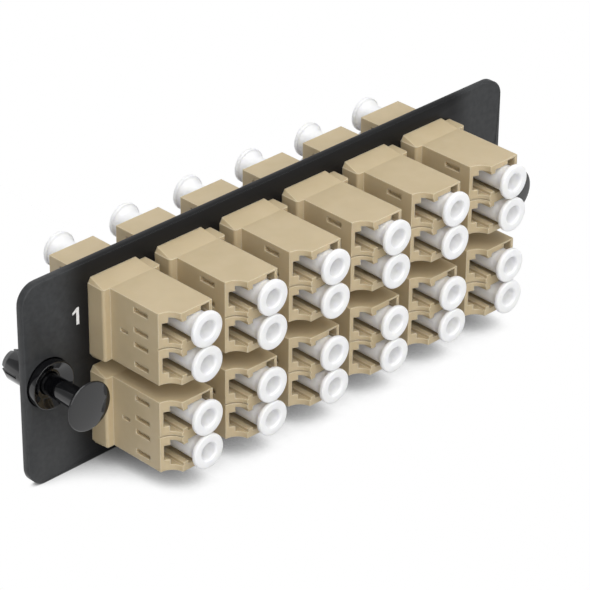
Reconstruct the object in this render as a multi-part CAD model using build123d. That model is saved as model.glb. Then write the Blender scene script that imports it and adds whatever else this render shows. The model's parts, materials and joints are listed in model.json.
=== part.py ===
from build123d import *

import os

# Fibre adapter panel: a painted steel plate carrying two rows of duplex fibre adapters, each closed by
# four dust caps, with a push-pull plunger at either end that holds the plate in its frame.
# Millimetres. X runs along the plate and Z up. The origin is the centre of the plate's rear face, the
# face that seats on the frame, and the ports on show look along -Y. Depths below are counted from that
# rear face towards the front, so a depth d is the plane Y = -d.

# Mounting plate
plate_thickness = 1.5
plate_corner_radius = 3.5
end_margin = 19.25
edge_margin = 10.2
cutout_clearance = 0.15

# Grid of adapters
column_count = 6
row_count = 2
column_gap = 2.0
row_gap = 1.5

# One port, measured across the housing from the face that the latch slots open in
port_pitch = 6.25
latch_wall = 0.7
latch_slot_depth = 0.95
latch_slot_width = 2.7
arm_depth = 1.25
arm_width = 4.6
neck_depth = 0.95
neck_width = 3.4
bore_depth = 4.65
bore_width = 4.66
far_wall = 0.7
outer_wall = 1.0

# Adapter housing
optical_centre_offset = 1.95
port_reach = 12.85
web_half_thickness = 0.8
nose_length = 2.3
scoop_radius = 2.7
web_groove_width = 0.2
web_groove_depth = 0.3
collar_depth = 3.7
collar_proud = 1.45
collar_corner_radius = 0.5
ramp_height = 0.85
ramp_left_inset = 0.6
ramp_right_inset = 2.1
ramp_bevel = 0.5
spigot_wall = 0.75
spigot_clearance = 0.05

# Recesses in the housing
window_start = 7.15
window_length = 3.25
window_height = 0.9
window_inset = 0.05
relief_side_step = 0.15
relief_width = 1.8
relief_height = 0.7
relief_length = 3.0
mark_start = 4.0
mark_length = 1.65
mark_height = 0.7
mark_recess = 0.45

# Split sleeve and the tube that holds it
sleeve_bore = 1.25
sleeve_diameter = 1.62
sleeve_length = 6.8
sleeve_slit = 0.2
sleeve_clearance = 0.03
holder_diameter = 2.8
holder_overhang = 0.6

# Dust cap
cap_port_clearance = 0.1
cap_holder_gap = 0.3
cap_stand_off = 1.5
rear_cap_withdrawal = 0.7
cap_flange_thickness = 0.9
cap_flange_spacing = 0.1
cap_hole_diameter = 3.0
cap_hole_depth = 4.0

# Spring clip that holds an adapter behind the plate
clip_thickness = 0.35
clip_width = 4.0
clip_arm_length = 7.0
clip_plate_gap = 0.3
tab_width = 2.4
tab_lift = 0.95
tab_tip_gap = 0.15

# Plunger fasteners
fastener_end_distance = 4.5
grommet_flange_diameter = 8.6
grommet_flange_rim = 0.9
grommet_flange_height = 1.5
grommet_crown_diameter = 7.6
grommet_mouth_diameter = 6.0
grommet_mouth_depth = 1.1
grommet_shoulder_diameter = 6.0
grommet_hole_clearance = 0.05
grommet_barrel_diameter = 5.5
grommet_reach = 7.1
grommet_taper_length = 1.4
grommet_tip_diameter = 4.4
leg_slot_width = 0.6
leg_slot_start = 3.0
stem_diameter = 3.6
stem_clearance = 0.05
stem_tip_reach = 3.0
stem_tip_chamfer = 0.5
head_diameter = 8.6
head_thickness = 1.1
head_bevel_width = 0.9
head_bevel_depth = 0.35
head_back_inset = 0.5
head_flare_diameter = 4.2
head_flare_length = 1.0
plunger_travel = 7.6
plunger_seat_gap = 0.1
right_plunger_pressed_in = 1.9

# How far a cutting shape runs past the face that it opens
overcut = 1.0

# Sizes and places that follow from the ones above
body_width = latch_wall + latch_slot_depth + arm_depth + neck_depth + bore_depth + far_wall
body_height = port_pitch + bore_width + 2 * outer_wall
collar_width = body_width + 2 * collar_proud
column_pitch = collar_width + column_gap
row_pitch = body_height + 2 * ramp_height + row_gap
plate_width = (column_count - 1) * column_pitch + 2 * end_margin
plate_height = (row_count - 1) * row_pitch + 2 * edge_margin
latch_face = -body_width / 2
bore_far_side = body_width / 2 - far_wall
bore_axis = bore_far_side - bore_depth / 2
port_places = (-port_pitch / 2, port_pitch / 2)
optical_centre = plate_thickness + optical_centre_offset
port_face = optical_centre + port_reach
nose_face = port_face + nose_length
rear_face = optical_centre - port_reach
holder_reach = sleeve_length / 2 + holder_overhang
spigot_width = body_width - 2 * spigot_wall
spigot_height = body_height - 2 * spigot_wall
fastener_places = (fastener_end_distance - plate_width / 2, plate_width / 2 - fastener_end_distance)
crown_face = plate_thickness + grommet_flange_height
head_back = crown_face + plunger_seat_gap + plunger_travel


def at_depth(depth):
    """The plane across the panel at a depth; an extrusion from it runs towards the front."""
    return Plane.XZ.offset(depth)


def prism(face, start, end):
    """A face drawn in X and Z, carried from one depth to another."""
    return extrude(at_depth(start) * face, amount=end - start)


def turned(points):
    """A solid turned about the Y axis from (radius, depth) points."""
    outline = Polyline([(radius, -depth) for radius, depth in points], close=True)
    return revolve(make_face(outline), Axis.Y)


def behind(shape):
    """The same feature on the rear side of the optical centre."""
    return mirror(shape, at_depth(optical_centre))


def below(shape):
    """The same feature on the underside."""
    return mirror(shape, Plane.XY)


def adapter_places():
    """The centre of each adapter, along the upper row first."""
    first_x = -column_pitch * (column_count - 1) / 2
    first_z = row_pitch * (row_count - 1) / 2
    return [
        (first_x + column * column_pitch, first_z - row * row_pitch)
        for row in range(row_count)
        for column in range(column_count)
    ]


def mounting_plate():
    """The punched plate: rounded corners, one opening for each adapter and a hole at either end."""
    outline = RectangleRounded(plate_width, plate_height, plate_corner_radius)
    opening = Rectangle(body_width + 2 * cutout_clearance, body_height + 2 * cutout_clearance)
    hole = Circle(grommet_shoulder_diameter / 2 + grommet_hole_clearance)
    for x, z in adapter_places():
        outline -= Pos(x, z) * opening
    for x in fastener_places:
        outline -= Pos(x, 0) * hole
    return prism(outline, 0, plate_thickness)


def port_outline():
    """The keyed outline of one port: latch slot, latch arms, neck and square bore, about its own Z."""
    edges = [latch_face + latch_wall]
    for step in (latch_slot_depth, arm_depth, neck_depth, bore_depth):
        edges.append(edges[-1] + step)
    widths = (latch_slot_width, arm_width, neck_width, bore_width)
    upper = []
    for left, right, width in zip(edges, edges[1:], widths):
        upper += [(left, width / 2), (right, width / 2)]
    lower = [(x, -z) for x, z in reversed(upper)]
    return make_face(Polyline(upper + lower, close=True))


def port_cavities(end):
    """Both ports, from the web at the optical centre out to a depth."""
    return [
        prism(Pos(0, z) * port_outline(), optical_centre + web_half_thickness, end) for z in port_places
    ]


def latch_windows():
    """Slots in the latch face, over the arms of each port, that form the catches for the latches."""
    reach = latch_wall + latch_slot_depth + arm_depth / 2
    opening = Pos(latch_face + reach / 2, 0) * Rectangle(reach, window_height)
    offset = arm_width / 2 - window_inset - window_height / 2
    start = optical_centre + window_start
    return [
        prism(Pos(0, z + side) * opening, start, start + window_length)
        for z in port_places
        for side in (-offset, offset)
    ]


def sleeve_holders():
    """The tubes that stand from the web into the ports, one half of each holder."""
    tube = Circle(holder_diameter / 2)
    return [
        prism(Pos(bore_axis, z) * tube, optical_centre, optical_centre + holder_reach) for z in port_places
    ]


def sleeve_bores():
    """The bores through the web and the holders that the split sleeves lie in."""
    bore = Circle(sleeve_diameter / 2 + sleeve_clearance)
    start = optical_centre - overcut
    return [
        prism(Pos(bore_axis, z) * bore, start, optical_centre + holder_reach + overcut)
        for z in port_places
    ]


def scoop(radius, width):
    """A cylinder along Z that hollows the nose, tangent to the port face at the latch face."""
    axis = Pos(latch_face, -port_face - scoop_radius)
    return extrude(axis * Circle(radius), amount=width / 2, both=True)


def nose_reliefs():
    """A narrow groove in each outer wall of the nose, beside the dust cap."""
    width = relief_height + overcut
    x = bore_far_side + relief_side_step - relief_width / 2
    groove = Pos(x, port_places[1] + bore_width / 2 - overcut + width / 2)
    cut = prism(groove * Rectangle(relief_width, width), nose_face - relief_length, nose_face + overcut)
    return [cut, below(cut)]


def side_mark():
    """The small blind recess in the latch face, between the pairs of windows."""
    recess = Pos(latch_face, 0) * Rectangle(2 * mark_recess, mark_height)
    start = optical_centre + mark_start
    return prism(recess, start, start + mark_length)


def collar():
    """The shoulder that stops the housing against the plate, with its front corners eased."""
    block = prism(Rectangle(collar_width, body_height), plate_thickness, plate_thickness + collar_depth)
    front_corners = block.edges().filter_by(Axis.Z).group_by(Axis.Y)[0]
    return fillet(front_corners, collar_corner_radius)


def collar_ramp():
    """The wedge on the collar's narrow face: a bevelled bar cut down to a slope."""
    left = -collar_width / 2 + ramp_left_inset
    right = collar_width / 2 - ramp_right_inset
    base = body_height / 2
    crest = base + ramp_height
    section = Polyline(
        (left - ramp_bevel, base), (left, crest), (right, crest), (right + ramp_bevel, base), close=True
    )
    back = -plate_thickness
    slope = make_face(Polyline((back, base), (back, crest), (back - collar_depth, base), close=True))
    wedge = extrude(Plane.YZ * slope, amount=collar_width / 2, both=True)
    return prism(make_face(section), plate_thickness, plate_thickness + collar_depth) & wedge


def front_shell():
    """The front half of a housing: collar, scooped nose, two ports and half of each sleeve holder."""
    ramp = collar_ramp()
    shell = prism(Rectangle(body_width, body_height), plate_thickness, nose_face)
    shell = shell + collar() + ramp + below(ramp)
    shell -= scoop(scoop_radius, body_height + overcut)
    shell -= scoop(scoop_radius + web_groove_depth, web_groove_width)
    shell -= port_cavities(nose_face + overcut)
    shell -= prism(Rectangle(spigot_width, spigot_height), plate_thickness - overcut, optical_centre)
    shell += sleeve_holders()
    shell -= sleeve_bores()
    shell -= latch_windows()
    shell -= nose_reliefs()
    shell -= side_mark()
    return shell.solid()


def clip_outline():
    """A channel section that wraps the housing's far side and both of its narrow faces."""
    middle = (body_width - clip_arm_length) / 2
    outer = Pos(middle, 0) * Rectangle(clip_arm_length, body_height)
    inner = Pos(middle - clip_thickness, 0) * Rectangle(clip_arm_length, body_height - 2 * clip_thickness)
    return outer - inner


def rear_shell():
    """The rear half of a housing, with the spigot that locates it in the front half."""
    spigot = Rectangle(spigot_width - 2 * spigot_clearance, spigot_height - 2 * spigot_clearance)
    shell = prism(Rectangle(body_width, body_height), rear_face, plate_thickness)
    shell += prism(spigot, plate_thickness, optical_centre)
    shell -= [behind(cavity) for cavity in port_cavities(port_face + overcut)]
    shell += [behind(tube) for tube in sleeve_holders()]
    shell -= [behind(cut) for cut in sleeve_bores() + latch_windows()]
    shell -= prism(clip_outline(), -clip_plate_gap - clip_width, -clip_plate_gap)
    return shell.solid()


def split_sleeve():
    """A ceramic sleeve slit along its length, about the optical centre."""
    ring = Circle(sleeve_diameter / 2) - Circle(sleeve_bore / 2)
    ring -= Pos(sleeve_diameter / 2, 0) * Rectangle(sleeve_diameter, sleeve_slit)
    return prism(ring, optical_centre - sleeve_length / 2, optical_centre + sleeve_length / 2)


def dust_cap():
    """A stepped plug: a barrel that fills the port's bore and a round pull flange with a blind hole."""
    barrel = min(bore_depth, bore_width) / 2 - cap_port_clearance
    flange = (port_pitch - cap_flange_spacing) / 2
    hole = cap_hole_diameter / 2
    tip = optical_centre + holder_reach + cap_holder_gap
    flange_back = nose_face + cap_stand_off
    flange_front = flange_back + cap_flange_thickness
    return turned(
        [
            (0, tip),
            (barrel, tip),
            (barrel, flange_back),
            (flange, flange_back),
            (flange, flange_front),
            (hole, flange_front),
            (hole, flange_front - cap_hole_depth),
            (0, flange_front - cap_hole_depth),
        ]
    )


def dust_caps():
    """The four caps of one adapter: two in front, and two behind that stand out a little further."""
    fronts = [Pos(bore_axis, 0, z) * dust_cap() for z in port_places]
    return fronts + [Pos(0, rear_cap_withdrawal, 0) * behind(cap) for cap in fronts]


def retaining_clip():
    """A sprung channel round the rear half, with a lanced tab on each arm that bears on the plate."""
    near = clip_plate_gap
    root = clip_plate_gap + clip_width
    skin = body_height / 2
    under = skin - clip_thickness
    middle = (body_width - clip_arm_length) / 2
    window = Pos(middle, skin) * Rectangle(tab_width + 2 * clip_thickness, 4 * clip_thickness)
    window_cut = prism(window, clip_thickness - root, overcut - near)
    blade = make_face(
        Polyline(
            (root, under),
            (root - clip_thickness, under),
            (tab_tip_gap, under + tab_lift),
            (tab_tip_gap, skin + tab_lift),
            (root - clip_thickness, skin),
            (root, skin),
            close=True,
        )
    )
    tab = Pos(middle, 0, 0) * extrude(Plane.YZ * blade, amount=tab_width / 2, both=True)
    clip = prism(clip_outline(), -root, -near)
    clip -= [window_cut, below(window_cut)]
    clip += [tab, below(tab)]
    return clip.solid()


def grommet():
    """The sleeve of a fastener: a cupped flange, a shoulder in the plate's hole and four legs behind it."""
    bore = stem_diameter / 2 + stem_clearance
    shoulder = grommet_shoulder_diameter / 2
    barrel = grommet_barrel_diameter / 2
    flange = grommet_flange_diameter / 2
    body = turned(
        [
            (bore, crown_face - grommet_mouth_depth),
            (grommet_mouth_diameter / 2, crown_face),
            (grommet_crown_diameter / 2, crown_face),
            (flange, plate_thickness + grommet_flange_rim),
            (flange, plate_thickness),
            (shoulder, plate_thickness),
            (shoulder, 0),
            (barrel, 0),
            (barrel, grommet_taper_length - grommet_reach),
            (grommet_tip_diameter / 2, -grommet_reach),
            (bore, -grommet_reach),
        ]
    )
    slot = Rectangle(leg_slot_width, 2 * grommet_barrel_diameter)
    cut = prism(slot, -grommet_reach - overcut, -leg_slot_start)
    return (body - cut - Rot(0, 90, 0) * cut).solid()


def plunger():
    """The pin of a fastener, drawn right out: a stem with a broad pull head."""
    stem = stem_diameter / 2
    head = head_diameter / 2
    head_front = head_back + head_thickness
    return turned(
        [
            (0, head_front),
            (head - head_bevel_width, head_front),
            (head, head_front - head_bevel_depth),
            (head - head_back_inset, head_back),
            (head_flare_diameter / 2, head_back),
            (stem, head_back - head_flare_length),
            (stem, stem_tip_chamfer - stem_tip_reach),
            (stem - stem_tip_chamfer, -stem_tip_reach),
            (0, -stem_tip_reach),
        ]
    )


def save(name, pieces):
    """Writes one piece, or a group of like pieces, to its own file."""
    solids = [solid for piece in pieces for solid in piece.solids()]
    body = solids[0] if len(solids) == 1 else Compound(children=solids)
    export_step(body, os.path.join("parts", name + ".step"))


def main():
    os.makedirs("parts", exist_ok=True)
    save("mounting_plate", [mounting_plate()])
    front = front_shell()
    rear = rear_shell()
    caps = dust_caps()
    clip = retaining_clip()
    sleeves = [Pos(bore_axis, 0, z) * split_sleeve() for z in port_places]
    places = adapter_places()
    for number, (x, z) in enumerate(places, start=1):
        place = Pos(x, 0, z)
        name = f"adapter_{number:02d}"
        save(f"{name}_front_shell", [place * front])
        save(f"{name}_rear_shell", [place * rear])
        save(f"{name}_dust_caps", [place * cap for cap in caps])
    for column in range(column_count):
        stack = [Pos(x, 0, z) for x, z in places[column::column_count]]
        name = f"column_{column + 1}"
        save(f"{name}_split_sleeves", [place * sleeve for place in stack for sleeve in sleeves])
        save(f"{name}_retaining_clips", [place * clip for place in stack])
    for side, x, pressed_in in zip(("left", "right"), fastener_places, (0, right_plunger_pressed_in)):
        save(f"{side}_grommet", [Pos(x, 0, 0) * grommet()])
        save(f"{side}_plunger", [Pos(x, pressed_in, 0) * plunger()])


main()
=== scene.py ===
import json
import math

import bmesh
import bpy
from mathutils import Matrix, Vector
from mathutils.geometry import intersect_point_line

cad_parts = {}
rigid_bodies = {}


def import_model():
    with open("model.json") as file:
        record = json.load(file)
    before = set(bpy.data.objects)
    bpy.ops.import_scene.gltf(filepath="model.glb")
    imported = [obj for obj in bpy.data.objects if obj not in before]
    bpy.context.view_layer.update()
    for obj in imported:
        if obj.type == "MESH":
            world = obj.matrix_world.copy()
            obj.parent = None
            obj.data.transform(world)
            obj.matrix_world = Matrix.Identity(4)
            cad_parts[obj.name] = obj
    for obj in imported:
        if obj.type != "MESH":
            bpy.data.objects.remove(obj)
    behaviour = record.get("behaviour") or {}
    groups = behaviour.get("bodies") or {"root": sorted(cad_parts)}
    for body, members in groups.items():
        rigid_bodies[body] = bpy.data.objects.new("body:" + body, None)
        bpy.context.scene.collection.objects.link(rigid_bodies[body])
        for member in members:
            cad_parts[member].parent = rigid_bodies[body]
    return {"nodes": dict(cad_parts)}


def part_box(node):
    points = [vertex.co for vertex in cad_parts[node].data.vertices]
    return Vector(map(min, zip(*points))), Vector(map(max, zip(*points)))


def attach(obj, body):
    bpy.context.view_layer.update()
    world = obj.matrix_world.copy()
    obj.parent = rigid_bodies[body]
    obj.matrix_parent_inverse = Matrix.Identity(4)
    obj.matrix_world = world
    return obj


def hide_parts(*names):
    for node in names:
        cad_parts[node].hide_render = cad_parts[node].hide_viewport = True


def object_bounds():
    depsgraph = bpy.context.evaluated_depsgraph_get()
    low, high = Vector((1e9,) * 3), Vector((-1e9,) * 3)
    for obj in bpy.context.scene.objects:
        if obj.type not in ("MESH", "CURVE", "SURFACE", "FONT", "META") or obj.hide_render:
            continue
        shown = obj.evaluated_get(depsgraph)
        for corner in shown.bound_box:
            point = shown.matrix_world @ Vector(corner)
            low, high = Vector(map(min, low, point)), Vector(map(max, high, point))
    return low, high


# Fibre adapter panel: a black powder-coated plate with two rows of six beige duplex adapters, each
# closed by four white dust caps, and a push-pull plunger in a grommet at either end. Sizes are in
# millimetres, which one value turns to metres. Colours are sRGB hex, which one function turns to
# linear.

MM = 0.001
ADAPTERS = 12

# Camera, as fitted to the photograph: degrees, millimetres and pixels
PHOTO_SIDE = 590
CAMERA_AZIMUTH = -44.597
CAMERA_ELEVATION = 30.034
CAMERA_ROLL = 0.463
CAMERA_PLACE = (-305.23, -315.352, 248.958)
CAMERA_FOCAL = 3018.6
SENSOR_WIDTH = 36.0
CLIP_NEAR = 10
CLIP_FAR = 20000

# Studio: three soft lamps (strength, spread, elevation and azimuth in degrees), and the room's
# brightness from its horizon to overhead
OVERHEAD_LAMP = (1.32, 50, 66, -20)
FILL_LAMP = (1.15, 50, 22, -24)
BACK_LAMP = (0.36, 60, 16, 165)
ROOM_LEVELS = ((0.0, 0.7), (0.3, 0.4), (0.6, 0.45), (1.0, 1.0))

# Floor: its size, the reach within which the object's painted shadow falls on it, and how bright it
# is seen for how openly it lies there
FLOOR_RADIUS = 4000
FLOOR_SEGMENTS = 64
PAINTED_SHADOW_REACH = 11
PAINTED_SHADOW_LEVELS = ((0.1, 0.05), (0.3, 0.28), (0.5, 0.76), (0.61, 1.0))

# Finishes: the noise levels between which soft patches change, the radius to which corners are
# rounded, and the cosine of a corner's turn where the painted edge highlight begins to show and
# where it shows fully
PATCH_LEVELS = (0.3, 0.7)
MOULD_CORNER = 0.26
COAT_CORNER = 0.3
NYLON_CORNER = 0.12
EDGE_HIGHLIGHT_BEGINS = 0.985
EDGE_HIGHLIGHT_FULL = 0.86

# Painted shade on the coat, near black between the housings: where it starts to fade towards the
# plate's ends and where it is gone, from the plate's middle
PAINTED_SHADE_FADES_FROM = 41.5
PAINTED_SHADE_GONE_AT = 47.5

# Punched edges of the plate: the widest rounding, the share of the free width beside an edge that
# it may take and the least that is worth making; the turn in degrees that makes an edge and the one
# that is still flat; the cosine above which two edges run alike; the distance that joins points
PLATE_EDGE = 0.15
EDGE_SHARE = 0.38
EDGE_LEAST = 0.03
EDGE_ANGLE = 30
FLAT_ANGLE = 1
RUNS_ALIKE = 0.85
POINT_JOIN = 0.001

# Latch windows of a housing: the latch face, each window's middle, its start before and behind the
# plate, its length and height, and the floor with its raised end
LATCH_FACE = 4.6
WINDOW_MIDDLES = (-4.925, -1.325, 1.325, 4.925)
WINDOW_STARTS = (-13.85, 3.7)
WINDOW_LENGTH = 3.25
WINDOW_HEIGHT = 0.9
WINDOW_DEPTH = 0.62
WINDOW_FLOOR = 0.3
WINDOW_STEP = 0.12
WINDOW_STEP_LENGTH = 0.8
WINDOW_ROUND = 0.06

# Dust cap: radii, and depths from the flange's front face
CAP_SEGMENTS = 56
CAP_FLANGE_THICKNESS = 0.9
CAP_RIM_DEPTH = 0.765
CAP_FLARE_LENGTH = 1.1
CAP_FLARE_RADIUS = 2.8
CAP_BARREL_RADIUS = 2.225
CAP_LENGTH = 13.25
CAP_MOUTH_RADIUS = 1.72
CAP_MOUTH_DEPTH = 0.3
CAP_HOLE_RADIUS = 1.5
CAP_HOLE_END_RADIUS = 1.4
CAP_HOLE_DEPTH = 3.2
CAP_GATE_RADIUS = 0.45
CAP_GATE_TIP_RADIUS = 0.36
CAP_GATE_HEIGHT = 0.25

# Plunger: radii, and depths from the head's front face; the crown's rings as shares of the head
PLUNGER_SEGMENTS = 96
STEM_RADIUS = 1.8
STEM_CHAMFER = 0.5
HEAD_THICKNESS = 1.1
HEAD_FLARE_RADIUS = 2.1
HEAD_FLARE_LENGTH = 1.0
HEAD_EDGE_DEPTH = 0.5
HEAD_RIM = 0.15
HEAD_BACK_INSET = 0.5
HEAD_CROWN = 0.3
CROWN_RINGS = (0.8, 0.6, 0.4, 0.2, 0)

# Grommet: its flange's outer wall, thin lip and funnel, from the flange's front face
GROMMET_SEGMENTS = 80
FLANGE_WALL_RADIUS = 4.15
FLANGE_LIP = 0.2
FUNNEL_RADIUS = 2.5
FUNNEL_DEPTH = 1.15
GROMMET_BORE_RADIUS = 1.95

# The printed 1: its foot on the plate's front, its outline from there, with a slanted flag, and
# how far the ink stands proud of the coat
FIGURE_FOOT = (-43.8, 7.9)
FIGURE_OUTLINE = (
    (0, 0), (0.58, 0), (0.58, 3.05), (0.116, 3.05), (-0.75, 2.379), (-0.75, 1.952), (0, 2.318)
)
INK_THICKNESS = 0.02


def linear(hex_colour):
    """An sRGB hex colour as the linear RGBA that the shaders take."""
    channels = [int(hex_colour[place : place + 2], 16) / 255 for place in (1, 3, 5)]
    return [c / 12.92 if c <= 0.04045 else ((c + 0.055) / 1.055) ** 2.4 for c in channels] + [1.0]


def add(owner, kind, inputs=None, **properties):
    """Adds a node to a material or world. Each input takes another node's output, or a value."""
    node = owner.node_tree.nodes.new(kind)
    for name, value in properties.items():
        setattr(node, name, value)
    for name, source in (inputs or {}).items():
        if isinstance(source, bpy.types.NodeSocket):
            owner.node_tree.links.new(source, node.inputs[name])
        else:
            node.inputs[name].default_value = source
    return node


def new_material(name):
    """An empty material, and the place on the object that its patterns are laid out by."""
    material = bpy.data.materials.new(name)
    material.use_nodes = True
    material.node_tree.nodes.clear()
    return material, add(material, "ShaderNodeTexCoord").outputs["Object"]


def finish_material(material, surface):
    """Gives the material its surface."""
    add(material, "ShaderNodeOutputMaterial", {"Surface": surface})
    return material


def mottle(material, place, size, dark, light, detail=2.0):
    """Two close colours in soft patches of a size in millimetres."""
    noise = {"Vector": place, "Scale": 1 / (size * MM), "Detail": detail}
    patches = add(material, "ShaderNodeTexNoise", noise)
    ramp = add(material, "ShaderNodeValToRGB", {"Fac": patches.outputs["Fac"]})
    for stop, level, colour in zip(ramp.color_ramp.elements, PATCH_LEVELS, (dark, light)):
        stop.position = level
        stop.color = linear(colour)
    return ramp.outputs["Color"]


def grain(material, place, size, height, detail=2.0, under=None):
    """A bump of a grain size and a height in millimetres, on top of another bump if given one."""
    noise = {"Vector": place, "Scale": 1 / (size * MM), "Detail": detail}
    grains = add(material, "ShaderNodeTexNoise", noise)
    relief = {"Height": grains.outputs["Fac"], "Strength": 1.0, "Distance": height * MM}
    if under:
        relief["Normal"] = under
    return add(material, "ShaderNodeBump", relief).outputs["Normal"]


def varied(material, place, size, low, high):
    """A roughness that drifts between two values in patches of a size in millimetres."""
    noise = {"Vector": place, "Scale": 1 / (size * MM), "Detail": 3.0}
    patches = add(material, "ShaderNodeTexNoise", noise)
    ends = dict(zip(("From Min", "From Max", "To Min", "To Max"), (*PATCH_LEVELS, low, high)))
    drift = add(material, "ShaderNodeMapRange", {"Value": patches.outputs["Fac"], **ends})
    return drift.outputs["Result"]


def rounded_with_painted_highlight(material, radius, body, highlight_colour, most):
    """The body's colour, turned towards a painted highlight colour by a share of at most the given
    one where a corner turns, and the normal that rounds corners by a radius in millimetres."""
    rounded = add(material, "ShaderNodeBevel", {"Radius": radius * MM}, samples=6).outputs["Normal"]
    face = add(material, "ShaderNodeNewGeometry").outputs["Normal"]
    alike = add(material, "ShaderNodeVectorMath", {0: rounded, 1: face}, operation="DOT_PRODUCT")
    highlit = add(
        material,
        "ShaderNodeMapRange",
        {
            "Value": alike.outputs["Value"],
            "From Min": EDGE_HIGHLIGHT_BEGINS,
            "From Max": EDGE_HIGHLIGHT_FULL,
            "To Max": most,
        },
    )
    colour = add(
        material,
        "ShaderNodeMix",
        {"Factor": highlit.outputs["Result"], "A": body, "B": linear(highlight_colour)},
        data_type="RGBA",
    )
    return colour.outputs["Result"], rounded


def powder_coat():
    """Polyester powder coat on steel, sprayed dry and baked: satin black with a faint orange peel,
    with painted shade that keeps it deep black between the housings and fades out towards the
    ends, and a painted highlight along its edges."""
    material, place = new_material("satin_black_powder_coat")
    along = add(material, "ShaderNodeSeparateXYZ", {"Vector": place}).outputs["X"]
    outwards = add(material, "ShaderNodeMath", {0: along}, operation="ABSOLUTE").outputs["Value"]
    # Painted shade: the coat is painted near black between the housings and fades to its own colour
    # towards the ends
    painted_shade_fade = add(
        material,
        "ShaderNodeMapRange",
        {"Value": outwards, "From Min": PAINTED_SHADE_FADES_FROM * MM, "From Max": PAINTED_SHADE_GONE_AT * MM},
        interpolation_type="SMOOTHSTEP",
    )
    unshaded_coat = mottle(material, place, 0.9, "#363738", "#3e3f40", detail=4.0)
    coat = add(
        material,
        "ShaderNodeMix",
        {"Factor": painted_shade_fade.outputs["Result"], "A": linear("#161617"), "B": unshaded_coat},
        data_type="RGBA",
    )
    # Painted highlight along the coat's edges, lighter where a corner turns
    colour, corners = rounded_with_painted_highlight(material, COAT_CORNER, coat.outputs["Result"], "#6a6b6c", 0.6)
    peel = grain(material, place, 1.1, 0.006, under=corners)
    shader = add(
        material,
        "ShaderNodeBsdfPrincipled",
        {
            "Base Color": colour,
            "Roughness": varied(material, place, 2.5, 0.36, 0.44),
            "IOR": 1.5,
            "Specular IOR Level": 0.18,
            "Normal": grain(material, place, 0.35, 0.005, under=peel),
        },
    )
    return finish_material(material, shader.outputs["BSDF"])


def moulded_pbt():
    """PBT, injection moulded in a spark-eroded tool: beige with a dull sheen and a very fine grain,
    corners that the tool leaves slightly round, with a painted highlight along them, and thin walls
    that let a little light through. The grain of the real tool is about 0.05 mm; it is drawn at
    0.22 mm, or it wouldn't show."""
    material, place = new_material("beige_moulded_pbt")
    body = mottle(material, place, 4.0, "#bfad8a", "#c5b391")
    # Painted highlight along the housings' edges, lighter where a corner turns
    colour, corners = rounded_with_painted_highlight(material, MOULD_CORNER, body, "#e3d8bf", 0.65)
    flow = grain(material, place, 3.5, 0.004, under=corners)
    shader = add(
        material,
        "ShaderNodeBsdfPrincipled",
        {
            "Base Color": colour,
            "Roughness": varied(material, place, 1.5, 0.42, 0.52),
            "IOR": 1.55,
            "Normal": grain(material, place, 0.22, 0.002, under=flow),
            "Subsurface Weight": 0.25,
            "Subsurface Scale": 1.0 * MM,
            "Subsurface Radius": (1.0, 0.8, 0.5),
        },
        subsurface_method="RANDOM_WALK",
    )
    return finish_material(material, shader.outputs["BSDF"])


def soft_polyethylene():
    """Low-density polyethylene, injection moulded in a plain tool: milky white that light passes
    into, with a waxy sheen and faint waves."""
    material, place = new_material("milky_white_polyethylene")
    shader = add(
        material,
        "ShaderNodeBsdfPrincipled",
        {
            "Base Color": mottle(material, place, 2.5, "#f0f0f1", "#f6f6f6"),
            "Roughness": varied(material, place, 1.2, 0.3, 0.4),
            "IOR": 1.51,
            "Normal": grain(material, place, 0.6, 0.003),
            "Subsurface Weight": 0.8,
            "Subsurface Scale": 1.2 * MM,
            "Subsurface Radius": (1.0, 1.0, 1.1),
        },
        subsurface_method="RANDOM_WALK",
    )
    return finish_material(material, shader.outputs["BSDF"])


def black_nylon():
    """Nylon 6/6, injection moulded in a polished tool: glossy black with faint sink and flow waves,
    and corners that catch a thin line of light."""
    material, place = new_material("glossy_black_nylon")
    corners = add(material, "ShaderNodeBevel", {"Radius": NYLON_CORNER * MM}, samples=4)
    shader = add(
        material,
        "ShaderNodeBsdfPrincipled",
        {
            "Base Color": mottle(material, place, 3.0, "#08080a", "#0d0d0f"),
            "Roughness": varied(material, place, 1.5, 0.03, 0.06),
            "IOR": 1.6,
            "Normal": grain(
                material, place, 2.6, 0.004, detail=1.0, under=corners.outputs["Normal"]
            ),
        },
    )
    return finish_material(material, shader.outputs["BSDF"])


def zirconia():
    """Zirconia, pressed, sintered and ground: hard ivory white with a glassy sheen. The grinding
    marks are really a few hundredths of a millimetre wide; they are drawn at 0.2 mm to show."""
    material, place = new_material("ground_white_zirconia")
    shader = add(
        material,
        "ShaderNodeBsdfPrincipled",
        {
            "Base Color": mottle(material, place, 1.0, "#e9e7e0", "#f1efe9"),
            "Roughness": 0.16,
            "IOR": 2.15,
            "Normal": grain(material, place, 0.2, 0.001),
        },
    )
    return finish_material(material, shader.outputs["BSDF"])


def spring_steel():
    """Stainless spring strip, cold rolled and stamped: grey metal with a fine grain along the
    strip. The rolling lines are really about 0.05 mm apart; they are drawn at 0.15 mm to show."""
    material, place = new_material("rolled_spring_steel")
    stretch = {"Vector": place, "Scale": (1.0, 1.0, 0.06)}
    strip = add(material, "ShaderNodeMapping", stretch).outputs["Vector"]
    shader = add(
        material,
        "ShaderNodeBsdfPrincipled",
        {
            "Base Color": mottle(material, strip, 0.3, "#a9a8a4", "#bfbdb8"),
            "Metallic": 1.0,
            "Roughness": varied(material, strip, 0.2, 0.24, 0.38),
            "Normal": grain(material, strip, 0.15, 0.001),
        },
    )
    return finish_material(material, shader.outputs["BSDF"])


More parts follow.
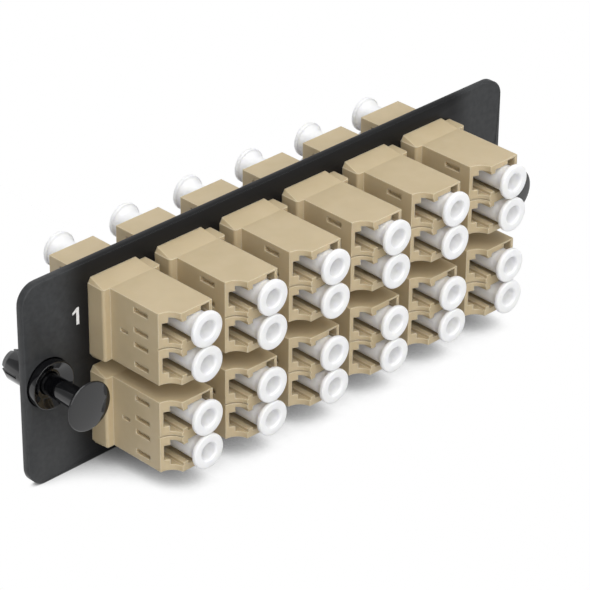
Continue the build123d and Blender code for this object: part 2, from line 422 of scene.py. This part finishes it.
def screen_ink():
    """Two-part screen ink, printed and cured: flat opaque white with the mesh's slight unevenness.
    The mesh is really about 0.1 mm; its marks are drawn at 0.25 mm to show."""
    material, place = new_material("white_screen_ink")
    shader = add(
        material,
        "ShaderNodeBsdfPrincipled",
        {
            "Base Color": mottle(material, place, 0.4, "#e4e4e3", "#f0f0ef"),
            "Roughness": 0.5,
            "IOR": 1.5,
            "Normal": grain(material, place, 0.25, 0.002),
        },
    )
    return finish_material(material, shader.outputs["BSDF"])


def studio_floor():
    """Matt white paper sweep. It lights the object as paper does, and the camera and reflections
    see it glow white, with a painted shadow, taken from how openly it lies, that is deepest where
    the object stands closest."""
    material, place = new_material("white_paper_floor")
    fibres = mottle(material, place, 40.0, "#b2b2b3", "#b5b5b5")
    paper = add(material, "ShaderNodeBsdfDiffuse", {"Color": fibres})
    openness = add(material, "ShaderNodeAmbientOcclusion", {"Distance": PAINTED_SHADOW_REACH * MM})
    shade = add(material, "ShaderNodeValToRGB", {"Fac": openness.outputs["AO"]})
    stops = shade.color_ramp.elements
    for near, level in PAINTED_SHADOW_LEVELS[1:-1]:
        stops.new(near)
    for stop, (near, level) in zip(stops, PAINTED_SHADOW_LEVELS):
        stop.position = near
        stop.color = (level, level, level, 1)
    # Painted shadow: the camera and reflections see the floor glow white, darkened where the object
    # stands close
    white = add(material, "ShaderNodeEmission", {"Color": shade.outputs["Color"]})
    rays = add(material, "ShaderNodeLightPath")
    seen = rays.outputs["Is Camera Ray"]
    for kind in ("Is Glossy Ray", "Is Transmission Ray"):
        either = add(material, "ShaderNodeMath", {0: seen, 1: rays.outputs[kind]}, operation="ADD")
        seen = either.outputs["Value"]
    sides = {0: seen, 1: paper.outputs["BSDF"], 2: white.outputs["Emission"]}
    floor = add(material, "ShaderNodeMixShader", sides)
    return finish_material(material, floor.outputs["Shader"])


def mesh_piece(name, build, material):
    """A new mesh object, its shape made by build(shape) in metres, with one material."""
    shape = bmesh.new()
    build(shape)
    bmesh.ops.recalc_face_normals(shape, faces=shape.faces)
    mesh = bpy.data.meshes.new(name)
    shape.to_mesh(mesh)
    shape.free()
    mesh.shade_smooth()
    mesh.materials.append(material)
    piece = bpy.data.objects.new(name, mesh)
    bpy.context.scene.collection.objects.link(piece)
    return piece


def eased(corners, steps=4):
    """An outline of (radius, depth) points, from corners given as (radius, depth, easing), each
    rounded off from its easing before it to its easing after it."""
    outline = []
    for place, (radius, depth, easing) in enumerate(corners):
        corner = Vector((radius, depth))
        if easing == 0:
            outline.append(corner)
            continue
        before = Vector(corners[place - 1][:2])
        after = Vector(corners[place + 1][:2])
        start = corner + (before - corner).normalized() * easing
        end = corner + (after - corner).normalized() * easing
        for step in range(steps + 1):
            part = step / steps
            outline.append(start.lerp(corner, part).lerp(corner.lerp(end, part), part))
    return outline


def turn(shape, outline, centre, towards, segments):
    """Adds a turned form: (radius, depth) points in mm, depth measured along Y from the centre."""
    rings = []
    for radius, depth in outline:
        y = centre.y + towards * depth * MM
        if radius == 0:
            rings.append([shape.verts.new((centre.x, y, centre.z))])
            continue
        ring = []
        for step in range(segments):
            angle = 2 * math.pi * step / segments
            x = centre.x + radius * MM * math.cos(angle)
            z = centre.z + radius * MM * math.sin(angle)
            ring.append(shape.verts.new((x, y, z)))
        rings.append(ring)
    for near, far in zip(rings, rings[1:]):
        for step in range(segments):
            after = (step + 1) % segments
            corners = [
                near[step % len(near)],
                near[after % len(near)],
                far[after % len(far)],
                far[step % len(far)],
            ]
            shape.faces.new(list(dict.fromkeys(corners)))


def cap_outline(radius):
    """Dust cap from its tip to its blind hole: barrel, flare, soft-edged flange, funnelled mouth,
    tapered hole and gate mark."""
    gate_depth = CAP_HOLE_DEPTH - CAP_GATE_HEIGHT
    return eased(
        [
            (0, CAP_LENGTH, 0),
            (CAP_BARREL_RADIUS, CAP_LENGTH, 0.3),
            (CAP_BARREL_RADIUS, CAP_FLANGE_THICKNESS + CAP_FLARE_LENGTH, 0.5),
            (CAP_FLARE_RADIUS, CAP_FLANGE_THICKNESS, 0.15),
            (radius, CAP_RIM_DEPTH, 0.2),
            (radius, 0, 0.3),
            (CAP_MOUTH_RADIUS, 0, 0.06),
            (CAP_HOLE_RADIUS, CAP_MOUTH_DEPTH, 0.1),
            (CAP_HOLE_END_RADIUS, CAP_HOLE_DEPTH, 0.25),
            (CAP_GATE_RADIUS, CAP_HOLE_DEPTH, 0),
            (CAP_GATE_TIP_RADIUS, gate_depth, 0),
            (0, gate_depth, 0),
        ]
    )


def dust_caps(number, material):
    """The four caps of one adapter, set where the adapter's node has them."""
    node = f"adapter_{number:02d}_dust_caps"
    low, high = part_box(node)
    radius = (high.x - low.x) / 2
    outline = cap_outline(radius / MM)

    def build(shape):
        for z in (low.z + radius, high.z - radius):
            for y, towards in ((low.y, 1), (high.y, -1)):
                turn(shape, outline, Vector((low.x + radius, y, z)), towards, CAP_SEGMENTS)

    caps = mesh_piece(f"adapter_{number:02d}_moulded_caps", build, material)
    caps.modifiers.new("even_faces", "WEIGHTED_NORMAL")
    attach(caps, "panel")
    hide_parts(node)


def plunger(side, material):
    """The pull pin: chamfered stem, flared neck and a broad, slightly crowned head with a rolled
    edge."""
    node = f"{side}_plunger"
    low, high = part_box(node)
    head = (high.x - low.x) / 2 / MM
    length = (high.y - low.y) / MM
    outline = eased(
        [
            (0, length, 0),
            (STEM_RADIUS - STEM_CHAMFER, length, 0.2),
            (STEM_RADIUS, length - STEM_CHAMFER, 0.2),
            (STEM_RADIUS, HEAD_THICKNESS + HEAD_FLARE_LENGTH, 0.4),
            (HEAD_FLARE_RADIUS, HEAD_THICKNESS, 0.3),
            (head - HEAD_BACK_INSET, HEAD_THICKNESS, 0.15),
            (head, HEAD_EDGE_DEPTH, 0.1),
            (head - HEAD_RIM, HEAD_CROWN, 0.1),
            *((head * ring, HEAD_CROWN * ring**2, 0) for ring in CROWN_RINGS),
        ]
    )

    def build(shape):
        front = Vector(((low.x + high.x) / 2, low.y, (low.z + high.z) / 2))
        turn(shape, outline, front, 1, PLUNGER_SEGMENTS)

    pin = mesh_piece(f"{side}_pull_pin", build, material)
    pin.modifiers.new("even_faces", "WEIGHTED_NORMAL")
    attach(pin, node)
    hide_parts(node)


def grommet(side, material):
    """The snap-in bush: a funnelled flange with a thin lip, and the slotted legs as the node has
    them."""
    node = f"{side}_grommet"
    low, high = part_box(node)
    plate_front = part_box("mounting_plate")[0].y
    height = (plate_front - low.y) / MM
    outline = eased(
        [
            (GROMMET_BORE_RADIUS, height, 0),
            (FLANGE_WALL_RADIUS, height, 0.1),
            (FLANGE_WALL_RADIUS, 0, 0.08),
            (FLANGE_WALL_RADIUS - FLANGE_LIP, 0, 0.08),
            (FUNNEL_RADIUS, FUNNEL_DEPTH, 0.3),
            (GROMMET_BORE_RADIUS, FUNNEL_DEPTH, 0.1),
            (GROMMET_BORE_RADIUS, height, 0),
        ]
    )

    def build(shape):
        shape.from_mesh(frame["nodes"][node].data)
        bmesh.ops.remove_doubles(shape, verts=shape.verts, dist=POINT_JOIN * MM)
        bmesh.ops.bisect_plane(
            shape,
            geom=[*shape.verts, *shape.edges, *shape.faces],
            plane_co=(0, plate_front, 0),
            plane_no=(0, -1, 0),
            clear_outer=True,
        )
        for edge in shape.edges:
            edge.smooth = edge.is_manifold and edge.calc_face_angle() < math.radians(EDGE_ANGLE)
        front = Vector(((low.x + high.x) / 2, low.y, (low.z + high.z) / 2))
        turn(shape, outline, front, 1, GROMMET_SEGMENTS)

    bush = mesh_piece(f"{side}_snap_bush", build, material)
    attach(bush, "panel")
    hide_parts(node)


def printed_figure(material):
    """The plain figure 1 by the first adapter, a film of ink on the coat."""
    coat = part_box("mounting_plate")[0].y
    foot_x, foot_z = FIGURE_FOOT

    def build(shape):
        front = coat - INK_THICKNESS * MM
        corners = [
            shape.verts.new(((foot_x + x) * MM, front, (foot_z + z) * MM))
            for x, z in FIGURE_OUTLINE
        ]
        face = shape.faces.new(corners)
        for part in bmesh.ops.extrude_face_region(shape, geom=[face])["geom"]:
            if isinstance(part, bmesh.types.BMVert):
                part.co.y += 2 * INK_THICKNESS * MM

    figure = mesh_piece("printed_figure_1", build, material)
    figure.data.shade_flat()
    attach(figure, "panel")


def rounding_room(edge):
    """The free width beside an edge: to the other edges of its faces, and along those it meets."""
    middle = (edge.verts[0].co + edge.verts[1].co) / 2
    along = (edge.verts[1].co - edge.verts[0].co).normalized()
    room = math.inf
    for face in edge.link_faces:
        for other in face.edges:
            first, last = (vert.co for vert in other.verts)
            met = set(other.verts) & set(edge.verts)
            if other == edge or met and abs((last - first).normalized().dot(along)) > RUNS_ALIKE:
                continue
            part = intersect_point_line(middle, first, last)[1]
            room = min(room, (first.lerp(last, min(max(part, 0), 1)) - middle).length)
            if met:
                room = min(room, (last - first).length)
    return room


def plate(material):
    """Stands for the plate's node, its edges rounded as widely as the faces beside them leave room
    for."""

    def build(shape):
        shape.from_mesh(frame["nodes"]["mounting_plate"].data)
        bmesh.ops.remove_doubles(shape, verts=shape.verts, dist=POINT_JOIN * MM)
        bmesh.ops.dissolve_limit(
            shape, angle_limit=math.radians(FLAT_ANGLE), verts=shape.verts, edges=shape.edges
        )
        share = shape.edges.layers.float.new("bevel_weight_edge")
        for edge in shape.edges:
            if edge.is_manifold and edge.calc_face_angle() > math.radians(EDGE_ANGLE):
                width = EDGE_SHARE * rounding_room(edge) / MM
                edge[share] = min(1, width / PLATE_EDGE) if width > EDGE_LEAST else 0
                edge.smooth = edge[share] > 0

    piece = mesh_piece("coated_plate", build, material)
    rounded = piece.modifiers.new("eased_edges", "BEVEL")
    rounded.width = PLATE_EDGE * MM
    rounded.segments = 2
    rounded.limit_method = "WEIGHT"
    rounded.use_clamp_overlap = False
    rounded.harden_normals = True
    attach(piece, "panel")
    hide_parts("mounting_plate")


def window_floors(number, material):
    """The floors of one adapter's latch windows, each with a raised end that catches the light."""
    low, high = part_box(f"adapter_{number:02d}_front_shell")
    face = (low.x + high.x) / 2 - LATCH_FACE * MM
    middle = (low.z + high.z) / 2

    def rounded_block(shape, depth, start, z, length):
        size = Vector((WINDOW_DEPTH + WINDOW_FLOOR - depth, length, WINDOW_HEIGHT)) * MM
        corner = Vector((face + depth * MM, start * MM, middle + (z - WINDOW_HEIGHT / 2) * MM))
        fit = Matrix.Translation(corner + size / 2) @ Matrix.Diagonal((*size, 1))
        points = bmesh.ops.create_cube(shape, size=1, matrix=fit)["verts"]
        edges = list({edge for point in points for edge in point.link_edges})
        bmesh.ops.bevel(
            shape, geom=edges, offset=WINDOW_ROUND * MM, segments=2, affect="EDGES", profile=0.5
        )

    def build(shape):
        for z in WINDOW_MIDDLES:
            for start in WINDOW_STARTS:
                step = start if start < 0 else start + WINDOW_LENGTH - WINDOW_STEP_LENGTH
                rounded_block(shape, WINDOW_DEPTH, start, z, WINDOW_LENGTH)
                rounded_block(shape, WINDOW_DEPTH - WINDOW_STEP, step, z, WINDOW_STEP_LENGTH)

    floors = mesh_piece(f"adapter_{number:02d}_window_floors", build, material)
    floors.modifiers.new("even_faces", "WEIGHTED_NORMAL")
    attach(floors, "panel")


def dress_nodes(finishes):
    """Finishes the nodes that are carried over as they are: housings, sleeves and clips."""
    kinds = {
        "shell": finishes["pbt"],
        "clips": finishes["steel"],
        "sleeves": finishes["zirconia"],
    }
    for name, node in frame["nodes"].items():
        finish = kinds.get(name.split("_")[-1])
        for place in node.material_slots if finish else ():
            place.material = finish


def place_camera():
    """The photograph's view, from the fitted angles and place."""
    azimuth = math.radians(CAMERA_AZIMUTH)
    elevation = math.radians(CAMERA_ELEVATION)
    roll = math.radians(CAMERA_ROLL)
    back = Vector(
        (
            math.sin(azimuth) * math.cos(elevation),
            -math.cos(azimuth) * math.cos(elevation),
            math.sin(elevation),
        )
    )
    level = Vector((0, 0, 1)).cross(back).normalized()
    upright = back.cross(level)
    right = math.cos(roll) * level + math.sin(roll) * upright
    up = math.cos(roll) * upright - math.sin(roll) * level
    data = bpy.data.cameras.new("camera")
    data.sensor_width = SENSOR_WIDTH
    data.lens = SENSOR_WIDTH * CAMERA_FOCAL / PHOTO_SIDE
    data.clip_start = CLIP_NEAR * MM
    data.clip_end = CLIP_FAR * MM
    camera = bpy.data.objects.new("camera", data)
    axes = Matrix((right, up, back)).transposed().to_4x4()
    camera.matrix_world = Matrix.Translation(Vector(CAMERA_PLACE) * MM) @ axes
    bpy.context.scene.collection.objects.link(camera)
    bpy.context.scene.camera = camera


def soft_lamp(name, strength, spread, elevation, azimuth):
    """A broad lamp, all its angles in degrees."""
    data = bpy.data.lights.new(name, "SUN")
    data.energy = strength
    data.angle = math.radians(spread)
    lamp = bpy.data.objects.new(name, data)
    lamp.rotation_euler = (math.radians(90 - elevation), 0, math.radians(azimuth))
    bpy.context.scene.collection.objects.link(lamp)


def light_studio():
    """Three broad soft lamps and a white room."""
    soft_lamp("overhead_softbox", *OVERHEAD_LAMP)
    soft_lamp("fill_softbox", *FILL_LAMP)
    soft_lamp("back_softbox", *BACK_LAMP)
    world = bpy.data.worlds.new("white_room")
    world.use_nodes = True
    world.node_tree.nodes.clear()
    around = add(world, "ShaderNodeTexCoord").outputs["Generated"]
    height = add(world, "ShaderNodeSeparateXYZ", {"Vector": around})
    level = add(world, "ShaderNodeFloatCurve", {"Value": height.outputs["Z"]})
    curve = level.mapping.curves[0]
    for place, brightness in ROOM_LEVELS[1:-1]:
        curve.points.new(place, brightness)
    curve.points[0].location = ROOM_LEVELS[0]
    curve.points[-1].location = ROOM_LEVELS[-1]
    level.mapping.update()
    glow = {"Color": linear("#fcfdff"), "Strength": level.outputs["Value"]}
    room = add(world, "ShaderNodeBackground", glow)
    add(world, "ShaderNodeOutputWorld", {"Surface": room.outputs["Background"]})
    bpy.context.scene.world = world


def lay_floor(level):
    """The paper floor that the panel stands on."""

    def build(shape):
        bmesh.ops.create_circle(
            shape,
            cap_ends=True,
            segments=FLOOR_SEGMENTS,
            radius=FLOOR_RADIUS * MM,
            matrix=Matrix.Translation((0, 0, level)),
        )

    floor = mesh_piece("floor", build, studio_floor())


for leftover in list(bpy.data.objects):
    bpy.data.objects.remove(leftover)
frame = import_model()
cad_box = [list(corner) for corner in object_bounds()]

finishes = {
    "paint": powder_coat(),
    "pbt": moulded_pbt(),
    "polyethylene": soft_polyethylene(),
    "nylon": black_nylon(),
    "zirconia": zirconia(),
    "steel": spring_steel(),
}
dress_nodes(finishes)
plate(finishes["paint"])
for number in range(1, ADAPTERS + 1):
    window_floors(number, finishes["pbt"])
    dust_caps(number, finishes["polyethylene"])
for side in ("left", "right"):
    plunger(side, finishes["nylon"])
    grommet(side, finishes["nylon"])
printed_figure(screen_ink())

lay_floor(cad_box[0][2])
place_camera()
light_studio()
bpy.context.scene.view_settings.view_transform = "Standard"
